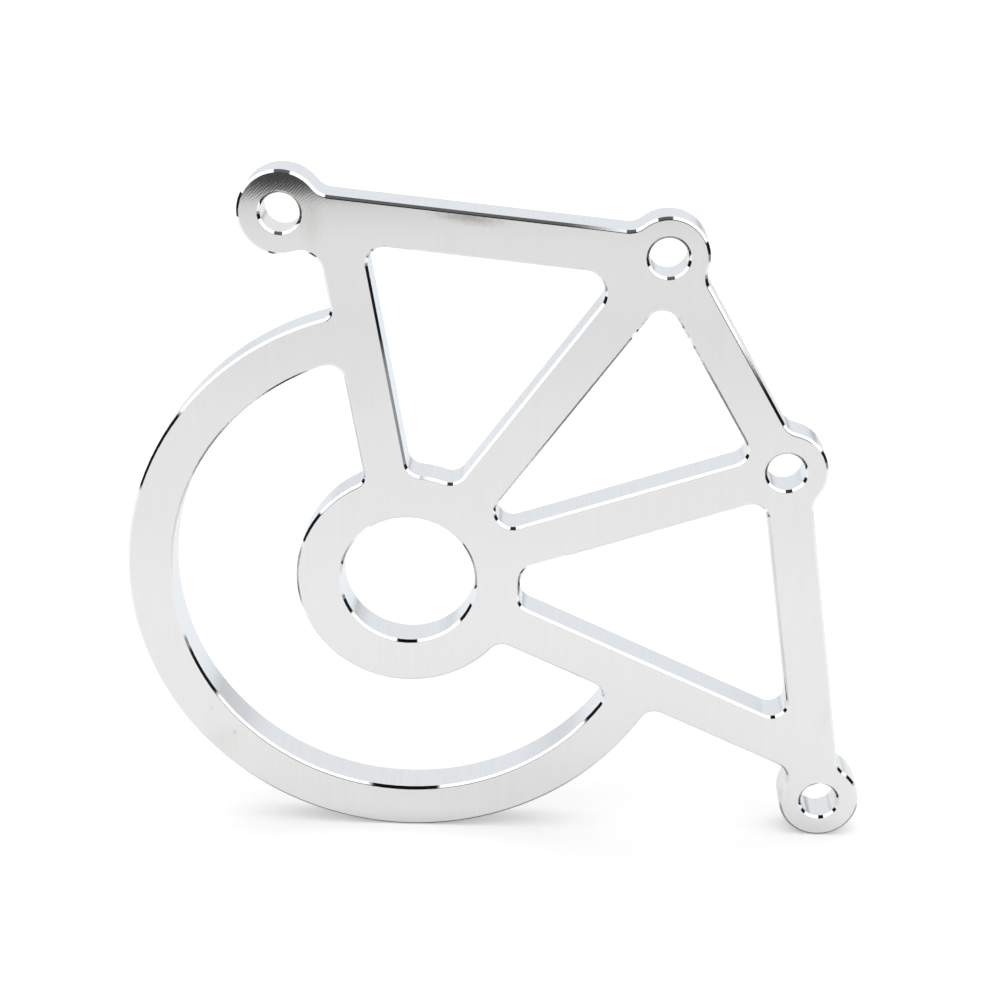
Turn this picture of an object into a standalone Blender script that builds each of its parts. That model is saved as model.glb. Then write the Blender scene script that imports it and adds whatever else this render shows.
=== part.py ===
"""Motorcycle sprocket cover: one flat openwork plate, cut from thick sheet and chamfered all round.

The plate is drawn in its own plane with the shaft axis at (0, 0), x to the right and y up.
It is then stood upright: its face looks along -Y, its bolting side along +Y, and it rests
on the foot of its ring and on its lowest bolt eye, both at Z = 0. All lengths are in metres.
"""

import math

import bmesh
import bpy

# Plate
PLATE_THICKNESS = 0.0070
EDGE_CHAMFER = 0.00045

# Hub around the end of the gearbox shaft
HUB_DIAMETER = 0.0394
BORE_DIAMETER = 0.0235

# Ring over the chain, on the same centre as the hub
RING_OUTER_DIAMETER = 0.0988
RING_WIDTH = 0.0078

# Bolt eyes, each round and bored for an M6 screw; the arm's eye stands above the ring's top
BOLT_HOLE_DIAMETER = 0.0066
EYE_DIAMETER = 0.01436
CROWN_EYE_DIAMETER = 0.0138
ARM_EYE_X = -0.02074
ARM_EYE_RISE = 0.01608
CROWN_EYE_X = 0.04337
CROWN_EYE_Y = 0.05909
SIDE_EYE_X = 0.06497
SIDE_EYE_Y = 0.02174
FOOT_EYE_X = 0.07479

# Bars, each with its own width
TOP_BAR_WIDTH = 0.0076
DIAGONAL_BAR_WIDTH = 0.0077
SHOULDER_BAR_WIDTH = 0.0073
CROSS_BAR_WIDTH = 0.0079
SIDE_BAR_WIDTH = 0.0079
LOWER_BAR_WIDTH = 0.0079

# Arm from the hub to the top bar: how far its middle line passes left of the shaft's centre,
# and how far from the arm's eye it meets the middle line of the top bar
ARM_WIDTH = 0.0076
ARM_ROOT_OFFSET = 0.00025
ARM_HEAD_SETBACK = 0.0092

# Corner radii, all on the open side of the outline
WINDOW_RADIUS = 0.00275
CROWN_WINDOW_RADIUS = 0.0038
EYE_NECK_RADIUS = 0.0035
FOOT_NECK_RADIUS = 0.0029
RING_LOWER_RADIUS = 0.00275
RING_UPPER_RADIUS = 0.00175
ARM_ROOT_RADIUS = 0.00215

# Furthest that a chord may lie inside its arc, and the distance at which points become one
ARC_TOLERANCE = 0.000015
WELD_DISTANCE = 0.00001

# Finish
METAL_COLOUR = (0.90, 0.905, 0.91, 1.0)
METAL_ROUGHNESS = 0.16
SMOOTH_ANGLE = math.radians(30.0)

SHAFT_CENTRE = (0.0, 0.0)
FULL_TURN = 2.0 * math.pi


class Line:
    """A straight edge of the plate. The open side lies to the left of its direction."""

    def __init__(self, start, end, distance=0.0):
        """Run from start towards end, moved sideways into the open side by distance."""
        length = math.hypot(end[0] - start[0], end[1] - start[1])
        self.along = ((end[0] - start[0]) / length, (end[1] - start[1]) / length)
        self.across = (-self.along[1], self.along[0])
        self.point = (start[0] + self.across[0] * distance, start[1] + self.across[1] * distance)

    def moved(self, distance):
        end = (self.point[0] + self.along[0], self.point[1] + self.along[1])
        return Line(self.point, end, distance)

    def at(self, travel):
        return (self.point[0] + self.along[0] * travel, self.point[1] + self.along[1] * travel)

    def travel_to(self, point):
        east = point[0] - self.point[0]
        north = point[1] - self.point[1]
        return east * self.along[0] + north * self.along[1]

    def foot_of(self, point):
        """Point of the edge nearest to a point."""
        return self.at(self.travel_to(point))


class Circle:
    """A round edge of the plate, with the metal inside it or outside it."""

    def __init__(self, centre, radius, metal_inside=True):
        self.centre = centre
        self.radius = radius
        self.metal_inside = metal_inside

    def moved(self, distance):
        """The same edge moved into the open side."""
        change = distance if self.metal_inside else -distance
        return Circle(self.centre, self.radius + change, self.metal_inside)

    def foot_of(self, point):
        """Point of the edge nearest to a point."""
        east = point[0] - self.centre[0]
        north = point[1] - self.centre[1]
        share = self.radius / math.hypot(east, north)
        return (self.centre[0] + east * share, self.centre[1] + north * share)


def crossing_of_lines(first, second):
    east = second.point[0] - first.point[0]
    north = second.point[1] - first.point[1]
    turn = first.along[0] * second.along[1] - first.along[1] * second.along[0]
    travel = (east * second.along[1] - north * second.along[0]) / turn
    return first.at(travel)


def crossing_with_circle(line, circle, entering):
    """Where the line goes into the circle, or where it comes out of it."""
    middle = line.travel_to(circle.centre)
    nearest = line.at(middle)
    miss = math.hypot(nearest[0] - circle.centre[0], nearest[1] - circle.centre[1])
    half_chord = math.sqrt(max(circle.radius ** 2 - miss ** 2, 0.0))
    return line.at(middle - half_chord if entering else middle + half_chord)


def crossing(first, second):
    """Where the outline turns from its first edge to its second."""
    if isinstance(first, Line) and isinstance(second, Line):
        return crossing_of_lines(first, second)
    if isinstance(first, Line):
        return crossing_with_circle(first, second, entering=second.metal_inside)
    return crossing_with_circle(second, first, entering=not first.metal_inside)


def arc_points(centre, start, end, counterclockwise):
    """Points from start to end round a centre, both ends included."""
    radius = math.hypot(start[0] - centre[0], start[1] - centre[1])
    start_angle = math.atan2(start[1] - centre[1], start[0] - centre[0])
    end_angle = math.atan2(end[1] - centre[1], end[0] - centre[0])
    direction = 1.0 if counterclockwise else -1.0
    sweep = (end_angle - start_angle) * direction % FULL_TURN
    steps = max(2, math.ceil(sweep / step_angle(radius)))
    angles = [start_angle + direction * sweep * step / steps for step in range(steps + 1)]
    return [(centre[0] + radius * math.cos(a), centre[1] + radius * math.sin(a)) for a in angles]


def step_angle(radius):
    """Angle of a chord that stays within the tolerance of its arc."""
    return 2.0 * math.acos(1.0 - ARC_TOLERANCE / radius)


def circle_points(centre, diameter):
    radius = diameter / 2.0
    steps = math.ceil(FULL_TURN / step_angle(radius))
    angles = [FULL_TURN * step / steps for step in range(steps)]
    return [(centre[0] + radius * math.cos(a), centre[1] + radius * math.sin(a)) for a in angles]


def rounded_outline(corners):
    """Closed outline through (edge, radius of the corner where it meets the next edge) pairs.

    The edges are in walking order with the open side on the left. Each corner is an arc
    whose centre lies in the open side, tangent to the two edges that it joins.
    """
    edges = [edge for edge, radius in corners]
    radii = [radius for edge, radius in corners]
    count = len(edges)
    centres = []
    for index in range(count):
        arriving = edges[index].moved(radii[index])
        leaving = edges[(index + 1) % count].moved(radii[index])
        centres.append(crossing(arriving, leaving))

    points = []
    for index in range(count):
        centre = centres[index]
        edge = edges[(index + 1) % count]
        start = edges[index].foot_of(centre)
        end = edge.foot_of(centre)
        points += arc_points(centre, start, end, counterclockwise=True)
        if isinstance(edge, Circle):
            edge_end = edge.foot_of(centres[(index + 1) % count])
            points += arc_points(edge.centre, end, edge_end, not edge.metal_inside)[1:-1]
    return points


def eye_centres():
    """Centres of the four bolt eyes; the foot eye stands on the same ground as the ring."""
    arm_eye_y = RING_OUTER_DIAMETER / 2.0 + ARM_EYE_RISE
    foot_eye_y = (EYE_DIAMETER - RING_OUTER_DIAMETER) / 2.0
    return {
        "arm": (ARM_EYE_X, arm_eye_y),
        "crown": (CROWN_EYE_X, CROWN_EYE_Y),
        "side": (SIDE_EYE_X, SIDE_EYE_Y),
        "foot": (FOOT_EYE_X, foot_eye_y),
    }


def bar_sides(start, end, width):
    """The two long edges of a bar: on its left going out, and on its other side coming back."""
    return Line(start, end, width / 2.0), Line(end, start, width / 2.0)


def passing_line(target, miss):
    """Line towards a target that leaves the shaft's centre on its right by the length miss."""
    distance = math.hypot(target[0], target[1])
    angle = math.atan2(target[1], target[0]) - math.asin(miss / distance)
    outwards = (math.cos(angle), math.sin(angle))
    return Line(SHAFT_CENTRE, outwards, miss)


def arm_sides(eyes):
    """The arm's long edges, from beside the shaft's centre to a point on the top bar."""
    head = Line(eyes["arm"], eyes["crown"]).at(ARM_HEAD_SETBACK)
    middle = passing_line(head, ARM_ROOT_OFFSET)
    return bar_sides(middle.point, head, ARM_WIDTH)


def lower_bar_sides(eyes):
    """The lower bar's long edges. Its middle line touches the foot eye from above."""
    distance = math.hypot(eyes["foot"][0], eyes["foot"][1])
    foot_angle = math.atan2(eyes["foot"][1], eyes["foot"][0])
    angle = foot_angle + math.asin(EYE_DIAMETER / 2.0 / distance)
    return bar_sides(SHAFT_CENTRE, (math.cos(angle), math.sin(angle)), LOWER_BAR_WIDTH)


def hub_end(arriving, hub, leaving):
    """Corners at a window's hub end: one on each side of the hub, or a single one short of it."""
    middle = crossing_of_lines(arriving.moved(WINDOW_RADIUS), leaving.moved(WINDOW_RADIUS))
    if math.hypot(middle[0], middle[1]) > hub.radius + WINDOW_RADIUS:
        return [(arriving, WINDOW_RADIUS)]
    return [(arriving, WINDOW_RADIUS), (hub, WINDOW_RADIUS)]


def plate_outlines():
    """Outer outline, three windows, the crescent, the bore and the bolt holes."""
    eyes = eye_centres()
    arm_left, arm_right = arm_sides(eyes)
    top_upper, top_lower = bar_sides(eyes["arm"], eyes["crown"], TOP_BAR_WIDTH)
    diagonal_upper, diagonal_lower = bar_sides(SHAFT_CENTRE, eyes["crown"], DIAGONAL_BAR_WIDTH)
    shoulder_outer, shoulder_inner = bar_sides(eyes["crown"], eyes["side"], SHOULDER_BAR_WIDTH)
    cross_upper, cross_lower = bar_sides(SHAFT_CENTRE, eyes["side"], CROSS_BAR_WIDTH)
    side_outer, side_inner = bar_sides(eyes["side"], eyes["foot"], SIDE_BAR_WIDTH)
    lower_upper, lower_lower = lower_bar_sides(eyes)

    hub = Circle(SHAFT_CENTRE, HUB_DIAMETER / 2.0)
    ring_outside = Circle(SHAFT_CENTRE, RING_OUTER_DIAMETER / 2.0)
    ring_inside = Circle(SHAFT_CENTRE, ring_outside.radius - RING_WIDTH, metal_inside=False)
    arm_eye = Circle(eyes["arm"], EYE_DIAMETER / 2.0)
    crown_eye = Circle(eyes["crown"], CROWN_EYE_DIAMETER / 2.0)
    side_eye = Circle(eyes["side"], EYE_DIAMETER / 2.0)
    foot_eye = Circle(eyes["foot"], EYE_DIAMETER / 2.0)

    outside = rounded_outline([
        (arm_eye, EYE_NECK_RADIUS),
        (top_upper, EYE_NECK_RADIUS),
        (crown_eye, EYE_NECK_RADIUS),
        (shoulder_outer, EYE_NECK_RADIUS),
        (side_eye, EYE_NECK_RADIUS),
        (side_outer, EYE_NECK_RADIUS),
        (foot_eye, FOOT_NECK_RADIUS),
        (lower_lower, RING_LOWER_RADIUS),
        (ring_outside, RING_UPPER_RADIUS),
        (arm_left, EYE_NECK_RADIUS),
    ])
    top_window = rounded_outline(
        hub_end(arm_right, hub, diagonal_upper)
        + [(diagonal_upper, CROWN_WINDOW_RADIUS), (top_lower, WINDOW_RADIUS)]
    )
    shoulder_window = rounded_outline(
        hub_end(diagonal_lower, hub, cross_upper)
        + [(cross_upper, WINDOW_RADIUS), (shoulder_inner, WINDOW_RADIUS)]
    )
    side_window = rounded_outline(
        hub_end(cross_lower, hub, lower_upper)
        + [(lower_upper, WINDOW_RADIUS), (side_inner, WINDOW_RADIUS)]
    )
    crescent = rounded_outline([
        (arm_left, WINDOW_RADIUS),
        (ring_inside, WINDOW_RADIUS),
        (lower_lower, WINDOW_RADIUS),
        (hub, ARM_ROOT_RADIUS),
    ])
    bore = circle_points(SHAFT_CENTRE, BORE_DIAMETER)
    bolt_holes = [circle_points(centre, BOLT_HOLE_DIAMETER) for centre in eyes.values()]
    return [outside, top_window, shoulder_window, side_window, crescent, bore] + bolt_holes


def clear_scene():
    for item in list(bpy.data.objects):
        bpy.data.objects.remove(item, do_unlink=True)


def polished_metal():
    material = bpy.data.materials.new("polished_aluminium")
    material.use_nodes = True
    shader = material.node_tree.nodes["Principled BSDF"]
    shader.inputs["Base Color"].default_value = METAL_COLOUR
    shader.inputs["Metallic"].default_value = 1.0
    shader.inputs["Roughness"].default_value = METAL_ROUGHNESS
    material.diffuse_color = METAL_COLOUR
    return material


def drawn_plate(outlines, collection):
    """A filled flat curve whose bevel is the chamfer, so that its wall lies on the outlines."""
    drawing = bpy.data.curves.new("plate_drawing", "CURVE")
    drawing.dimensions = "2D"
    drawing.fill_mode = "BOTH"
    drawing.extrude = PLATE_THICKNESS / 2.0 - EDGE_CHAMFER
    drawing.bevel_depth = EDGE_CHAMFER
    drawing.bevel_resolution = 0
    drawing.offset = -EDGE_CHAMFER
    for points in outlines:
        spline = drawing.splines.new("POLY")
        spline.points.add(len(points) - 1)
        for target, (x, y) in zip(spline.points, points):
            target.co = (x, y, 0.0, 1.0)
        spline.use_cyclic_u = True
    plate = bpy.data.objects.new("plate_drawing", drawing)
    collection.objects.link(plate)
    return plate


def stand_upright(plate, outlines):
    """Turn the face to -Y and put the outline's foot at Z = 0, half its width to each side."""
    across = [x for x, y in outlines[0]]
    lowest = min(y for x, y in outlines[0])
    plate.rotation_euler = (math.radians(90.0), 0.0, 0.0)
    plate.location = (-(min(across) + max(across)) / 2.0, 0.0, -lowest)


def solid_from_curve(drawn, name, collection):
    """A closed mesh object in place of the curve, with its caps welded to its walls."""
    bpy.context.view_layer.update()
    evaluated = drawn.evaluated_get(bpy.context.evaluated_depsgraph_get())
    mesh = bpy.data.meshes.new_from_object(evaluated)
    mesh.name = name
    work = bmesh.new()
    work.from_mesh(mesh)
    bmesh.ops.remove_doubles(work, verts=work.verts, dist=WELD_DISTANCE)
    bmesh.ops.recalc_face_normals(work, faces=work.faces)
    work.to_mesh(mesh)
    work.free()
    mesh.shade_smooth()
    mesh.set_sharp_from_angle(angle=SMOOTH_ANGLE)
    solid = bpy.data.objects.new(name, mesh)
    solid.matrix_world = drawn.matrix_world
    collection.objects.link(solid)
    bpy.data.objects.remove(drawn, do_unlink=True)
    return solid


def build():
    clear_scene()
    collection = bpy.data.collections.new("sprocket_cover")
    bpy.context.scene.collection.children.link(collection)
    outlines = plate_outlines()
    drawn = drawn_plate(outlines, collection)
    stand_upright(drawn, outlines)
    plate = solid_from_curve(drawn, "cover_plate", collection)
    plate.data.materials.clear()
    plate.data.materials.append(polished_metal())


build()
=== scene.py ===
# Motorcycle sprocket cover: one polished aluminium plate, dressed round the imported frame
import math

import bmesh
import bpy
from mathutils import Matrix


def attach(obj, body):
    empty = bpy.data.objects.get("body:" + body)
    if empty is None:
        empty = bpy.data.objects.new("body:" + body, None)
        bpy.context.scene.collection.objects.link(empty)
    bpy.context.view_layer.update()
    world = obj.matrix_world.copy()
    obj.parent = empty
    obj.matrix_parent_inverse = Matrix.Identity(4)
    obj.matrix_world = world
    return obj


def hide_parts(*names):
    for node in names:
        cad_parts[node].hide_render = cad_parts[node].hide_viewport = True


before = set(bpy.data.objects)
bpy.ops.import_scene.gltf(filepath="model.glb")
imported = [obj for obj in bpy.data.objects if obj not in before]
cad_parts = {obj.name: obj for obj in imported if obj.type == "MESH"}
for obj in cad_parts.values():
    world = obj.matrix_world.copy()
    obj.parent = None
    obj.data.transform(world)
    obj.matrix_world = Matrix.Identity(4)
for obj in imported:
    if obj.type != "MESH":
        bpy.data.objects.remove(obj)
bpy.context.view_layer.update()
print("frame loaded")


# A socket that can be used in sums, in shader and geometry trees alike
class Wire:
    def __init__(self, graph, socket):
        self.graph = graph
        self.socket = socket

    def sum(self, operation, other=0.0, swapped=False):
        first, second = (other, self) if swapped else (self, other)
        return self.graph.add("ShaderNodeMath", {"operation": operation}, {0: first, 1: second})

    def __add__(self, other):
        return self.sum("ADD", other)

    def __radd__(self, other):
        return self.sum("ADD", other, True)

    def __sub__(self, other):
        return self.sum("SUBTRACT", other)

    def __rsub__(self, other):
        return self.sum("SUBTRACT", other, True)

    def __mul__(self, other):
        return self.sum("MULTIPLY", other)

    def __rmul__(self, other):
        return self.sum("MULTIPLY", other, True)

    def __truediv__(self, other):
        return self.sum("DIVIDE", other)

    def __rtruediv__(self, other):
        return self.sum("DIVIDE", other, True)

    def __neg__(self):
        return self.sum("MULTIPLY", -1.0)

    def __abs__(self):
        return self.sum("ABSOLUTE")

    def __gt__(self, other):
        return self.sum("GREATER_THAN", other)

    def __lt__(self, other):
        return self.sum("LESS_THAN", other)

    def scaled(self, factor):  # a vector times a number
        settings = {"operation": "SCALE"}
        return self.graph.add("ShaderNodeVectorMath", settings, {0: self, "Scale": factor})

    def joined(self, other):  # two vectors added
        return self.graph.add("ShaderNodeVectorMath", {"operation": "ADD"}, {0: self, 1: other})

    def clamped(self):
        return self.sum("MAXIMUM", 0.0).sum("MINIMUM", 1.0)

    def eased(self, low, high):  # 0 below low, 1 above high, smooth between
        return self.graph.add(
            "ShaderNodeMapRange",
            {"interpolation_type": "SMOOTHSTEP"},
            {"Value": self, "From Min": low, "From Max": high},
        )

    def part(self, axis):  # one number out of a vector
        kind = "ShaderNodeSeparateXYZ"
        return self.graph.add(kind, inputs={0: self}, output=axis)


# Nodes of one tree; every node comes from add
class Graph:
    def __init__(self, tree):
        self.tree = tree

    def add(self, kind, settings=None, inputs=None, output=0):
        node = self.tree.nodes.new(kind)
        for name, setting in (settings or {}).items():
            if name == "stops":
                setStops(node.color_ramp, setting)
            elif name == "captured":
                node.capture_items.new(setting, "Value")
            else:
                setattr(node, name, setting)
        for key, value in (inputs or {}).items():
            self.feed(node.inputs[key], value)
        return Wire(self, node.outputs[output]) if node.outputs else node

    def feed(self, socket, value):
        if isinstance(value, list):
            for wire in value:
                self.tree.links.new(wire.socket, socket)
        elif isinstance(value, Wire):
            self.tree.links.new(value.socket, socket)
        else:
            socket.default_value = value

    def vector(self, x, y, z):
        return self.add("ShaderNodeCombineXYZ", inputs={0: x, 1: y, 2: z})

    # the value as it is on this geometry, for use after later changes
    def keep(self, geometry, kind, value, domain="POINT"):
        settings = {"captured": kind, "domain": domain}
        kept = self.add("GeometryNodeCaptureAttribute", settings, {0: geometry, 1: value})
        return kept, Wire(self, kept.socket.node.outputs[1])

    def dressed(self, geometry, material, where=True):
        inputs = {"Geometry": geometry, "Selection": where, "Material": material}
        return self.add("GeometryNodeSetMaterial", inputs=inputs)

    def blend(self, amount, first, second):  # mix of two colours, at the node's colour sockets
        settings = {"data_type": "RGBA", "clamp_factor": True}
        inputs = {0: amount, 6: first, 7: second}
        return self.add("ShaderNodeMix", settings, inputs, output=2)


def setStops(ramp, stops):
    while len(ramp.elements) < len(stops):
        ramp.elements.new(1.0)
    for element, (place, colour) in zip(ramp.elements, stops):
        element.position = place
        element.color = colour


def grey(level):
    return (level, level, level, 1.0)


# Camera, at the photograph's place and angle
camera = {
    "place": (0.009430, -0.330719, 0.197226),
    "turn": (67.9708, -0.6357, 1.8366),
    "lens": 73.566,
    "sensor": 36.0,
    "shiftX": -0.003465,
    "shiftY": 0.000659,
    "nearest": 0.01,
    "farthest": 20.0,
}


def makeCamera(spec):
    data = bpy.data.cameras.new("camera")
    data.sensor_width = spec["sensor"]
    data.lens = spec["lens"]
    data.shift_x = spec["shiftX"]
    data.shift_y = spec["shiftY"]
    data.clip_start = spec["nearest"]
    data.clip_end = spec["farthest"]
    eye = bpy.data.objects.new("camera", data)
    eye.location = spec["place"]
    eye.rotation_euler = [math.radians(angle) for angle in spec["turn"]]
    bpy.context.scene.collection.objects.link(eye)
    bpy.context.scene.camera = eye


makeCamera(camera)
bpy.context.scene.view_settings.view_transform = "Standard"
print("camera placed")


# Finishes of the plate. Lengths are in metres, places are x and z on the plate, turns in degrees
faceFinish = {
    "light": (0.935, 0.935, 0.932, 1.0),
    "dark": (0.865, 0.866, 0.864, 1.0),
    "roughness": 0.035,
    "streaks": [  # turn, scale across and along, weight
        (0.0, 2400.0, 70.0, 0.9),
        (0.0, 600.0, 120.0, 0.3),
    ],
    "streakGloss": 0.02,
    "hatch": [  # turn, scale, depth
        (-42.0, 780.0, 0.00000055),
        (-57.0, 640.0, 0.00000030),
    ],
    "hatchPlace": (-0.0365, 0.1190, 0.0200),  # place and reach
    "hatchWander": {"Distortion": 2.0, "Detail": 3.0, "Detail Scale": 0.8},
    "hatchPatches": (1500.0, 260.0),  # scale across and along
    "hatchPatchEdge": (0.35, 0.65),
    "stainTone": (0.62, 0.60, 0.56, 1.0),
    "stainGloss": 0.15,
    "stains": [  # place, reach along and across, turn, strength
        (-0.0256, 0.0835, 0.0085, 0.0060, 0.0, 0.07),
        (-0.0505, 0.0162, 0.0070, 0.0045, -40.0, 0.16),
        (-0.0480, 0.0183, 0.0006, 0.0006, 0.0, 0.60),
        (-0.0521, 0.0231, 0.0005, 0.0005, 0.0, 0.40),
        (-0.0319, 0.1132, 0.0030, 0.0060, 0.0, 0.22),
        (-0.0058, 0.1147, 0.0085, 0.0018, 6.0, 0.60),
        (0.0588, 0.0245, 0.0018, 0.0040, 20.0, 0.12),
    ],
}
chamferFinish = {
    "light": (0.94, 0.945, 0.95, 1.0),
    "dark": (0.90, 0.905, 0.91, 1.0),
    "roughness": 0.035,
    "rippleScale": 1800.0,
    "rippleDepthways": 60.0,
    "rippleDepth": 0.000001,
}
wallFinish = {
    # painted reflection: part of the bluish surround's cast is put into these two wall tones; their grey
    # level is the metal's own
    "light": (0.915, 0.922, 0.930, 1.0),
    "dark": (0.855, 0.862, 0.872, 1.0),
    "roughness": 0.20,
    "bandScale": 2600.0,
    "bandDepthways": 25.0,
    "bandDetail": 4.0,
    "bandContrast": 2.0,
    "bandGloss": 0.1,
    "bandDepth": 0.000001,
    # painted reflection: a warm tint on the walls in and round the arm eye's hole
    "warmReflectionTone": (0.98, 0.90, 0.80, 1.0),
    "warmReflectionPlace": (-0.03702, 0.11488, 0.0070, 0.03),  # place, reach around and into the hole
}


def newMetal(name, finish):
    material = bpy.data.materials.new(name)
    material.use_nodes = True
    shader = material.node_tree.nodes["Principled BSDF"]
    shader.inputs["Metallic"].default_value = 1.0
    shader.inputs["Roughness"].default_value = finish["roughness"]
    return material, Graph(material.node_tree), shader


def stretchedNoise(graph, across, along, angle=0.0, detail=2.0, depthways=0.0):
    place = graph.add("ShaderNodeTexCoord", output="Object")
    turn = {"Vector": place, "Rotation": (0.0, math.radians(angle), 0.0)}
    place = graph.add("ShaderNodeMapping", inputs=turn)
    stretch = {"Vector": place, "Scale": (across, depthways, along)}
    place = graph.add("ShaderNodeMapping", inputs=stretch)
    inputs = {"Vector": place, "Scale": 1.0, "Detail": detail, "Roughness": 0.6}
    return graph.add("ShaderNodeTexNoise", inputs=inputs)


def hatchLines(graph, angle, scale, wander):  # fine parallel lines, about straight
    place = graph.add("ShaderNodeTexCoord", output="Object")
    turn = {"Vector": place, "Rotation": (0.0, math.radians(angle), 0.0)}
    place = graph.add("ShaderNodeMapping", inputs=turn)
    inputs = {"Vector": place, "Scale": scale, **wander}
    return graph.add("ShaderNodeTexWave", {"bands_direction": "X"}, inputs, output="Fac")


# every mark is centred in depth on the plate's front, and a fine noise makes its edge wander
marks = {"frontDepth": -0.0035, "edgeScale": 1600.0, "edgeDetail": 5.0}


# 1 at the place, falling to 0 at the reach
def spot(graph, x, z, along, across, angle=0.0, unevenness=0.9, depth=0.004):
    away = {
        "Vector": graph.add("ShaderNodeTexCoord", output="Object"),
        "Location": (x, marks["frontDepth"], z),
        "Rotation": (0.0, math.radians(angle), 0.0),
        "Scale": (along, depth, across),
    }
    away = graph.add("ShaderNodeMapping", {"vector_type": "TEXTURE"}, away)
    away = graph.add("ShaderNodeVectorMath", {"operation": "LENGTH"}, {0: away}, output=1)
    scale = marks["edgeScale"]
    uneven = stretchedNoise(graph, scale, scale, detail=marks["edgeDetail"])
    return (away + (uneven - 0.5) * unevenness).eased(1.0, 0.0)


def bumped(graph, height):  # height in metres
    return graph.add("ShaderNodeBump", inputs={"Distance": 1.0, "Height": height})


def makeFaceMetal(finish):
    material, graph, shader = newMetal("faceMetal", finish)
    tone = 0.5
    for angle, across, along, weight in finish["streaks"]:
        tone = tone + (stretchedNoise(graph, across, along, angle) - 0.5) * weight
    colour = graph.blend(tone.clamped(), finish["dark"], finish["light"])
    rough = finish["roughness"] + (tone - 0.5) * finish["streakGloss"]
    for x, z, alongReach, acrossReach, turn, strength in finish["stains"]:
        stain = spot(graph, x, z, alongReach, acrossReach, turn) * strength
        colour = graph.blend(stain, colour, finish["stainTone"])
        rough = rough + stain * finish["stainGloss"]
    x, z, reach = finish["hatchPlace"]
    hatched = spot(graph, x, z, reach, reach, unevenness=0.0)
    height = 0.0
    for angle, scale, depth in finish["hatch"]:
        patches = stretchedNoise(graph, *finish["hatchPatches"], angle)
        strength = patches.eased(*finish["hatchPatchEdge"]) * depth
        lines = hatchLines(graph, angle, scale, finish["hatchWander"])
        height = height + (lines - 0.5) * strength * hatched
    graph.feed(shader.inputs["Base Color"], colour)
    graph.feed(shader.inputs["Roughness"], rough)
    graph.feed(shader.inputs["Normal"], bumped(graph, height))
    return material


def makeChamferMetal(finish):
    material, graph, shader = newMetal("chamferMetal", finish)
    scale = finish["rippleScale"]
    ripple = stretchedNoise(graph, scale, scale, depthways=finish["rippleDepthways"])
    colour = graph.blend(ripple, finish["dark"], finish["light"])
    graph.feed(shader.inputs["Base Color"], colour)
    graph.feed(shader.inputs["Normal"], bumped(graph, ripple * finish["rippleDepth"]))
    return material


def makeWallMetal(finish):
    material, graph, shader = newMetal("wallMetal", finish)
    scale = finish["bandScale"]
    grain = {"detail": finish["bandDetail"], "depthways": finish["bandDepthways"]}
    band = stretchedNoise(graph, scale, scale, **grain)
    tone = (0.5 + (band - 0.5) * finish["bandContrast"]).clamped()
    colour = graph.blend(tone, finish["dark"], finish["light"])
    # painted reflection: the walls in and round the arm eye's hole are tinted warm
    x, z, reach, depth = finish["warmReflectionPlace"]
    warm = spot(graph, x, z, reach, reach, depth=depth)
    colour = graph.blend(warm, colour, finish["warmReflectionTone"])
    graph.feed(shader.inputs["Base Color"], colour)
    rough = finish["roughness"] + (band - 0.5) * finish["bandGloss"]
    graph.feed(shader.inputs["Roughness"], rough)
    graph.feed(shader.inputs["Normal"], bumped(graph, band * finish["bandDepth"]))
    return material


faceMetal = makeFaceMetal(faceFinish)
chamferMetal = makeChamferMetal(chamferFinish)
wallMetal = makeWallMetal(wallFinish)
print("finishes made")


# The plate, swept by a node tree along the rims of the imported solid. Rims are numbered from the
# longest, the outline; where a polished rim lies right of its x and above its z, hand polishing
# rounded its edge
plate = {
    "node": "cover_plate",
    "weld": 0.00001,
    "level": 0.0001,
    "longRun": 1.3,
    "gap": 0.00015,
    "chamferTurn": 45.0,
    "crispRound": 0.00006,
    "polishedRound": 0.00022,
    "polishedRims": {0: (-0.030, 0.077), 1: (-1.0, -1.0)},
    "roundSteps": 4,
    "guard": 0.00001,
    "slope": 0.3,
    "join": 0.000001,
    "crease": 30.0,
}


def weldedCopy(node, distance):
    work = bmesh.new()
    work.from_mesh(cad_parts[node].data)
    bmesh.ops.remove_doubles(work, verts=work.verts, dist=distance)
    return work


def depthLevels(work, step):  # the plate's four depths, front to back
    return sorted({round(vertex.co.y / step) * step for vertex in work.verts})


def rimLoops(work, depth, step):
    following = {}
    for edge in work.edges:
        if any(abs(vertex.co.y - depth) > step for vertex in edge.verts):
            continue
        wall = min(edge.link_faces, key=lambda face: abs(face.normal.y))
        first, second = edge.verts
        run = second.co - first.co
        if -run.z * wall.normal.x + run.x * wall.normal.z < 0.0:  # open side on the left
            first, second = second, first
        following[first] = second
    loops = []
    while following:
        start, vertex = following.popitem()
        loop = [start.co.copy()]
        while vertex is not start:
            loop.append(vertex.co.copy())
            vertex = following.pop(vertex)
        loops.append(loop)
    return loops


# Points are added near the ends of straight runs, so that shading turns only in the corners
def steadied(loop, spec):
    spans = [(after - before).length for before, after in zip(loop, loop[1:] + loop[:1])]
    steady = []
    for number, (before, after) in enumerate(zip(loop, loop[1:] + loop[:1])):
        steady.append(before)
        longest = max(spans[number - 1], spans[(number + 1) % len(spans)])
        if spans[number] > spec["longRun"] * longest:
            near = spec["gap"] / spans[number]
            steady.append(before.lerp(after, near))
            steady.append(after.lerp(before, near))
    return steady


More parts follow.
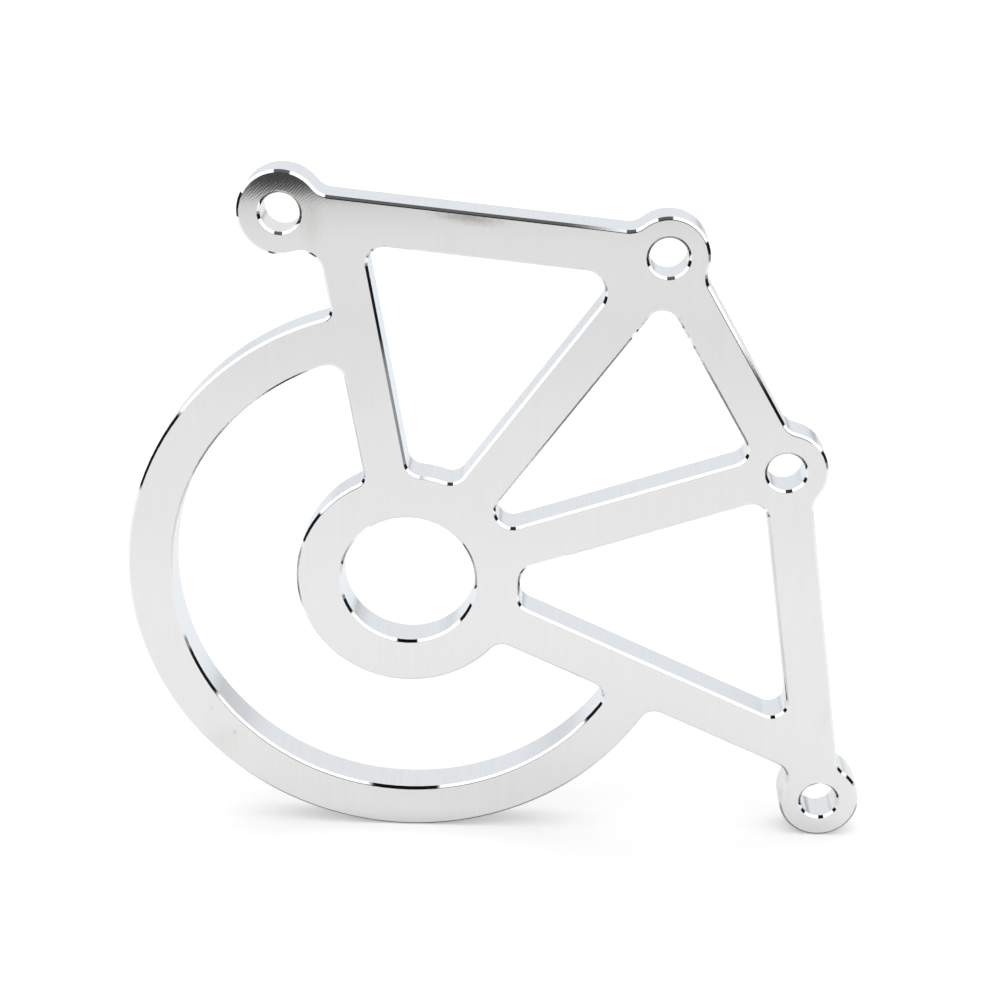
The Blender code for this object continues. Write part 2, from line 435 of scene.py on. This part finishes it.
def rimCurve(loops, spec):
    data = bpy.data.curves.new("plateRims", "CURVE")
    data.dimensions = "3D"
    for number, loop in enumerate(sorted(loops, key=rimLength, reverse=True)):
        spline = data.splines.new("POLY")
        spline.points.add(len(loop) - 1)
        left, bottom = spec["polishedRims"].get(number, (math.inf, math.inf))
        for point, place in zip(spline.points, loop):
            polished = place.x > left and place.z > bottom
            point.co = (place.x, place.z, 0.0, 1.0)
            point.radius = spec["polishedRound"] if polished else spec["crispRound"]
        spline.use_cyclic_u = True
    rims = bpy.data.objects.new("plateRims", data)
    bpy.context.scene.collection.objects.link(rims)
    return rims


def rimLength(loop):
    return sum((after - before).length for before, after in zip(loop, loop[1:] + loop[:1]))


def sweepTree(spec):
    tree = bpy.data.node_groups.new("chamferedPlate", "GeometryNodeTree")
    tree.is_modifier = True
    sockets = tree.interface
    sockets.new_socket("Rims", in_out="INPUT", socket_type="NodeSocketGeometry")
    for name in ("Thickness", "Chamfer", "Guard"):
        sockets.new_socket(name, in_out="INPUT", socket_type="NodeSocketFloat")
    sockets.new_socket("Round Steps", in_out="INPUT", socket_type="NodeSocketInt")
    for name in ("Face Metal", "Chamfer Metal", "Wall Metal"):
        sockets.new_socket(name, in_out="INPUT", socket_type="NodeSocketMaterial")
    sockets.new_socket("Plate", in_out="OUTPUT", socket_type="NodeSocketGeometry")
    graph = Graph(tree)
    given = graph.add("NodeGroupInput").socket.node.outputs
    given = {socket.name: Wire(graph, socket) for socket in given if socket.name}
    half = given["Thickness"] * 0.5
    chamfer = given["Chamfer"]
    steps = given["Round Steps"]

    # kept from each rim point: its place, the way into the metal and the radius of its rounding
    rims = graph.add("GeometryNodeSetCurveNormal", {"mode": "Z_UP"}, {"Curve": given["Rims"]})
    along = graph.add("GeometryNodeInputTangent")
    rims, place = graph.keep(rims, "VECTOR", graph.add("GeometryNodeInputPosition"))
    rims, inwards = graph.keep(rims, "VECTOR", graph.vector(along.part(1), -along.part(0), 0.0))
    rims, rounding = graph.keep(rims, "FLOAT", graph.add("GeometryNodeInputRadius"))
    rims = graph.add("GeometryNodeSetCurveRadius", inputs={"Curve": rims, "Radius": 1.0})
    fullTurn = math.radians(spec["chamferTurn"])
    tangent = rounding * math.tan(fullTurn / 2.0)

    # section, counted from the wall outwards to both faces: corner, guard, points of the rounding
    pointsPerFace = steps + 3.0
    line = graph.add("GeometryNodeMeshLine", inputs={"Count": pointsPerFace * 2.0})
    line, number = graph.keep(line, "FLOAT", graph.add("GeometryNodeInputIndex"))
    line = graph.add("GeometryNodeMeshToCurve", inputs={"Mesh": line})
    edge = graph.add("GeometryNodeCurveToMesh", inputs={"Curve": rims, "Profile Curve": line})
    fromWall = number - (pointsPerFace - 0.5)
    count = abs(fromWall) - 0.5
    corner = count < 0.5
    guard = (count < 1.5) * given["Guard"] * math.cos(fullTurn)
    turn = (1.0 - (count - 2.0).sum("MAXIMUM", 0.0) / steps) * fullTurn
    depth = chamfer + tangent - rounding * turn.sum("SINE") - guard
    height = half - rounding * (1.0 - turn.sum("COSINE")) - guard
    depth = depth * (1.0 - corner)
    height = height + (half - chamfer - height) * corner
    shift = inwards.scaled(depth)
    shift = shift.joined(graph.vector(0.0, 0.0, fromWall.sum("SIGN") * height))
    moved = {"Geometry": edge, "Position": place.joined(shift)}
    edge = graph.add("GeometryNodeSetPosition", inputs=moved)
    slope = abs(graph.add("GeometryNodeInputNormal").part(2)) > spec["slope"]
    edge, sloped = graph.keep(edge, "BOOLEAN", slope, "FACE")
    edge = graph.dressed(edge, given["Wall Metal"])

    # flat faces, filled inside the rounding
    inset = {"Geometry": rims, "Offset": inwards.scaled(chamfer + tangent)}
    flat = graph.add("GeometryNodeSetPosition", inputs=inset)
    flat = graph.add("GeometryNodeFillCurve", inputs={"Curve": flat})
    flat = graph.dressed(flat, given["Face Metal"])
    raised = {"Geometry": flat, "Translation": graph.vector(0.0, 0.0, half)}
    front = graph.add("GeometryNodeTransform", inputs=raised)
    lowered = {"Geometry": flat, "Translation": graph.vector(0.0, 0.0, -half)}
    back = graph.add("GeometryNodeTransform", inputs=lowered)
    back = graph.add("GeometryNodeFlipFaces", inputs={"Mesh": back})

    whole = graph.add("GeometryNodeJoinGeometry", inputs={0: [back, front, edge]})
    inputs = {"Geometry": whole, "Distance": spec["join"]}
    whole = graph.add("GeometryNodeMergeByDistance", inputs=inputs)
    upright = {"Geometry": whole, "Rotation": (math.radians(90.0), 0.0, 0.0)}
    whole = graph.add("GeometryNodeTransform", inputs=upright)
    crease = graph.add("GeometryNodeInputMeshEdgeAngle") > math.radians(spec["crease"])
    inputs = {"Geometry": whole, "Selection": crease, "Shade Smooth": False}
    whole = graph.add("GeometryNodeSetShadeSmooth", {"domain": "EDGE"}, inputs)
    whole = graph.add("GeometryNodeRealizeInstances", inputs={"Geometry": whole})
    whole = graph.dressed(whole, given["Chamfer Metal"], sloped)
    graph.add("NodeGroupOutput", inputs={"Plate": whole})
    return tree


def sweptPlate(spec):
    work = weldedCopy(spec["node"], spec["weld"])
    levels = depthLevels(work, spec["weld"])
    loops = [steadied(loop, spec) for loop in rimLoops(work, levels[1], spec["level"])]
    work.free()
    rims = rimCurve(loops, spec)
    tree = sweepTree(spec)
    values = {
        "Thickness": levels[-1] - levels[0],
        "Chamfer": levels[1] - levels[0],
        "Guard": spec["guard"],
        "Round Steps": spec["roundSteps"],
        "Face Metal": faceMetal,
        "Chamfer Metal": chamferMetal,
        "Wall Metal": wallMetal,
    }
    modifier = rims.modifiers.new("chamferedPlate", "NODES")
    modifier.node_group = tree
    for socket in tree.interface.items_tree:
        if socket.name in values:
            modifier[socket.identifier] = values[socket.name]
    depsgraph = bpy.context.evaluated_depsgraph_get()
    mesh = bpy.data.meshes.new_from_object(rims.evaluated_get(depsgraph))
    bpy.data.objects.remove(rims)
    mesh.name = "polishedPlate"
    made = bpy.data.objects.new("polishedPlate", mesh)
    bpy.context.scene.collection.objects.link(made)
    return made


polishedPlate = sweptPlate(plate)
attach(polishedPlate, "root")
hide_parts(plate["node"])
print("plate made", len(polishedPlate.data.polygons))


# Studio. The camera sees one plain pale floor with the plate's shadow, and white round it. The
# polished metal sees other things there, which the camera doesn't: a graded floor, four cards and a
# surround, whose tones were fitted until the metal's brightness agreed with the photograph's.
# A pair of numbers is where a tone starts and where it is full, in metres or as part of a direction
floorLook = {
    "size": 6.0,
    "tone": 0.80,
    "glow": 0.37,  # for the camera only; all that follows is for the metal only
    "frontReach": 0.6,
    "behindReach": 1.2,
    "behindStart": (-0.003, 0.001),
    # painted shadow: the floor right under the plate's front edge, darker as the metal sees it
    "underShadowTone": 0.45,
    "underShadowFront": (-0.0045, -0.003),
    "underShadowBack": (0.004, 0.000),
    "underShadowRight": (0.078, 0.070),
    # painted shade: the far floor on the right, grey as the metal sees it
    "rightShadeTone": 0.30,
    "rightShadeStart": (0.27, 0.40),
    "patchTone": 0.06,
    "patchAcross": (-0.350, -0.372),
    "patchFront": (0.046, 0.056),
    "patchBack": (0.300, 0.250),
}
# brightness of the floor in front of the plate, as the metal sees it, by distance in metres
floorTones = [
    (0.010, 0.960), (0.060, 0.925), (0.100, 0.918), (0.150, 0.885), (0.225, 0.865), (0.275, 0.823),
    (0.315, 0.808), (0.375, 0.822), (0.420, 0.818), (0.445, 0.785), (0.460, 0.745), (0.472, 0.720),
    (0.481, 0.625), (0.490, 0.350), (0.499, 0.165), (0.510, 0.060),
]
# colour of the floor behind the plate, as the metal sees it, by distance in metres
behindTones = [
    (0.080, (0.95, 0.96, 0.97, 1.0)), (0.200, (0.91, 0.96, 1.00, 1.0)), (1.200, (0.80, 0.82, 0.84, 1.0)),
]
surround = {
    "domeLow": 0.3,
    "domeHigh": 1.90,
    "domeRise": (0.55, 0.95),
    "white": 1.3,  # this and all that follows is for the metal only; the dome lights the floor
    "backTurn": (0.4, 0.8),
    "backTone": (0.828, 0.860, 0.895, 1.0),
    "backToneHigh": (0.838, 0.850, 0.858, 1.0),
    "backRise": (0.26, 0.45),
    "cornerShade": 0.15,
    "cornerAcross": (0.30, 0.46),
    "cornerRise": (0.10, 0.25),
    "frontTone": 0.02,
    "frontTurn": (0.55, 0.66),
}
# from front to back a card turns from its first tone to its second
cardTurn = (-0.42, -0.2)
# each card's corners, and where it turns from clear to dark, as axis and two places on it
cards = {
    "rightCard": {
        "corners": [(0.56, -0.7, 0.0), (0.56, 0.7, 0.0), (0.56, 0.7, 0.22), (0.56, -0.7, 0.22)],
        "fades": [(2, 0.217, 0.184), (2, 0.01, 0.03)],
        "tones": (0.012, 0.012),
    },
    "leftCard": {
        "corners": [(-0.59, -0.7, 0.0), (-0.59, 0.7, 0.0), (-0.59, 0.7, 0.25), (-0.59, -0.7, 0.25)],
        "fades": [(2, 0.245, 0.22), (2, 0.01, 0.03)],
        "tones": (0.012, 0.012),
    },
    "backCard": {
        "corners": [(0.44, 0.9, 0.0), (0.78, 0.9, 0.0), (0.78, 0.9, 0.32), (0.44, 0.9, 0.32)],
        "fades": [(0, 0.46, 0.52), (0, 0.78, 0.72), (2, 0.32, 0.24)],
        "tones": (0.5, 0.5),
    },
    "topCard": {
        "corners": [(-0.3, -0.9, 0.9), (0.2, -0.9, 0.9), (0.2, 0.7, 0.9), (-0.3, 0.7, 0.9)],
        "fades": [(0, 0.159, 0.109), (0, -0.27, -0.24)],
        "tones": (0.004, 0.12),
    },
}


def newPlane(name, corners, material):
    mesh = bpy.data.meshes.new(name)
    mesh.from_pydata(corners, [], [(0, 1, 2, 3)])
    mesh.materials.append(material)
    made = bpy.data.objects.new(name, mesh)
    bpy.context.scene.collection.objects.link(made)
    return made


def emptyMaterial(name):
    material = bpy.data.materials.new(name)
    material.use_nodes = True
    material.node_tree.nodes.clear()
    return material, Graph(material.node_tree)


def cameraRay(graph):  # what the camera sees, also through something clear
    through = graph.add("ShaderNodeLightPath", output="Is Transmission Ray")
    return graph.add("ShaderNodeLightPath", output="Is Camera Ray") + through


def mirrored(graph):  # rays that the polished metal sends on, but not the light on the floor
    path = graph.add("ShaderNodeLightPath", output="Diffuse Depth")
    return graph.add("ShaderNodeLightPath", output="Is Glossy Ray") * (path < 0.5)


def makeFloor(spec):
    material, graph = emptyMaterial("paleFloor")
    place = graph.add("ShaderNodeTexCoord", output="Object")
    x, y = place.part(0), place.part(1)
    reach = spec["frontReach"]
    stops = [(distance / reach, grey(tone)) for distance, tone in floorTones]
    front = graph.add("ShaderNodeValToRGB", {"stops": stops}, {"Fac": -y / reach})
    reach = spec["behindReach"]
    stops = [(distance / reach, tone) for distance, tone in behindTones]
    behind = graph.add("ShaderNodeValToRGB", {"stops": stops}, {"Fac": y / reach})
    patch = x.eased(*spec["patchAcross"]) * y.eased(*spec["patchFront"]) * y.eased(*spec["patchBack"])
    behind = graph.blend(patch, behind, grey(spec["patchTone"]))
    seen = graph.blend(y.eased(*spec["behindStart"]), front, behind)
    # painted shadow: a dark band on the floor under the plate's front edge, seen only by the metal
    under = y.eased(*spec["underShadowFront"]) * y.eased(*spec["underShadowBack"]) * x.eased(*spec["underShadowRight"])
    seen = graph.blend(under, seen, grey(spec["underShadowTone"]))
    # painted shade: the far floor on the right turns grey, seen only by the metal
    seen = graph.blend(x.eased(*spec["rightShadeStart"]), seen, grey(spec["rightShadeTone"]))
    tone = graph.blend(mirrored(graph), grey(spec["tone"]), seen)
    diffuse = graph.add("ShaderNodeBsdfDiffuse", inputs={"Color": tone})
    glow = {"Color": grey(1.0), "Strength": cameraRay(graph) * spec["glow"]}
    glow = graph.add("ShaderNodeEmission", inputs=glow)
    lit = graph.add("ShaderNodeAddShader", inputs={0: diffuse, 1: glow})
    graph.add("ShaderNodeOutputMaterial", inputs={"Surface": lit})
    half = spec["size"] / 2.0
    corners = [(-half, -half, 0.0), (half, -half, 0.0), (half, half, 0.0), (-half, half, 0.0)]
    newPlane("paleFloor", corners, material)


def cardMaterial(name, card):
    material, graph = emptyMaterial(name)
    place = graph.add("ShaderNodeTexCoord", output="Object")
    opacity = mirrored(graph)
    for axis, clear, dark in card["fades"]:
        opacity = opacity * place.part(axis).eased(clear, dark)
    front, back = card["tones"]
    tone = graph.blend(place.part(1).eased(*cardTurn), grey(front), grey(back))
    shade = graph.add("ShaderNodeEmission", inputs={"Color": tone, "Strength": 1.0})
    clear = graph.add("ShaderNodeBsdfTransparent")
    shown = graph.add("ShaderNodeMixShader", inputs={0: opacity, 1: clear, 2: shade})
    graph.add("ShaderNodeOutputMaterial", inputs={"Surface": shown})
    return material


def makeCards(spec):
    for name, card in spec.items():
        made = newPlane(name, card["corners"], cardMaterial(name, card))
        made.visible_camera = False
        made.visible_diffuse = False
        made.visible_shadow = False
        made.visible_transmission = False


def makeWorld(spec):
    world = bpy.data.worlds.new("studio")
    bpy.context.scene.world = world
    world.use_nodes = True
    world.node_tree.nodes.clear()
    graph = Graph(world.node_tree)
    way = graph.add("ShaderNodeTexCoord", output="Generated")
    x, y, z = way.part(0), way.part(1), way.part(2)
    back = graph.blend(z.eased(*spec["backRise"]), spec["backTone"], spec["backToneHigh"])
    corner = abs(x).eased(*spec["cornerAcross"]) * (1.0 - abs(z).eased(*spec["cornerRise"]))
    back = graph.blend(corner * spec["cornerShade"], back, grey(0.0))
    seen = graph.blend(y.eased(*spec["backTurn"]), grey(spec["white"]), back)
    seen = graph.blend((-y).eased(*spec["frontTurn"]), seen, grey(spec["frontTone"]))
    dome = graph.blend(z.eased(*spec["domeRise"]), grey(spec["domeLow"]), grey(spec["domeHigh"]))
    colour = graph.blend(mirrored(graph), dome, seen)
    colour = graph.blend(cameraRay(graph), colour, grey(1.0))
    background = graph.add("ShaderNodeBackground", inputs={"Color": colour, "Strength": 1.0})
    graph.add("ShaderNodeOutputWorld", inputs={"Surface": background})


makeFloor(floorLook)
makeCards(cards)
makeWorld(surround)
print("studio made")
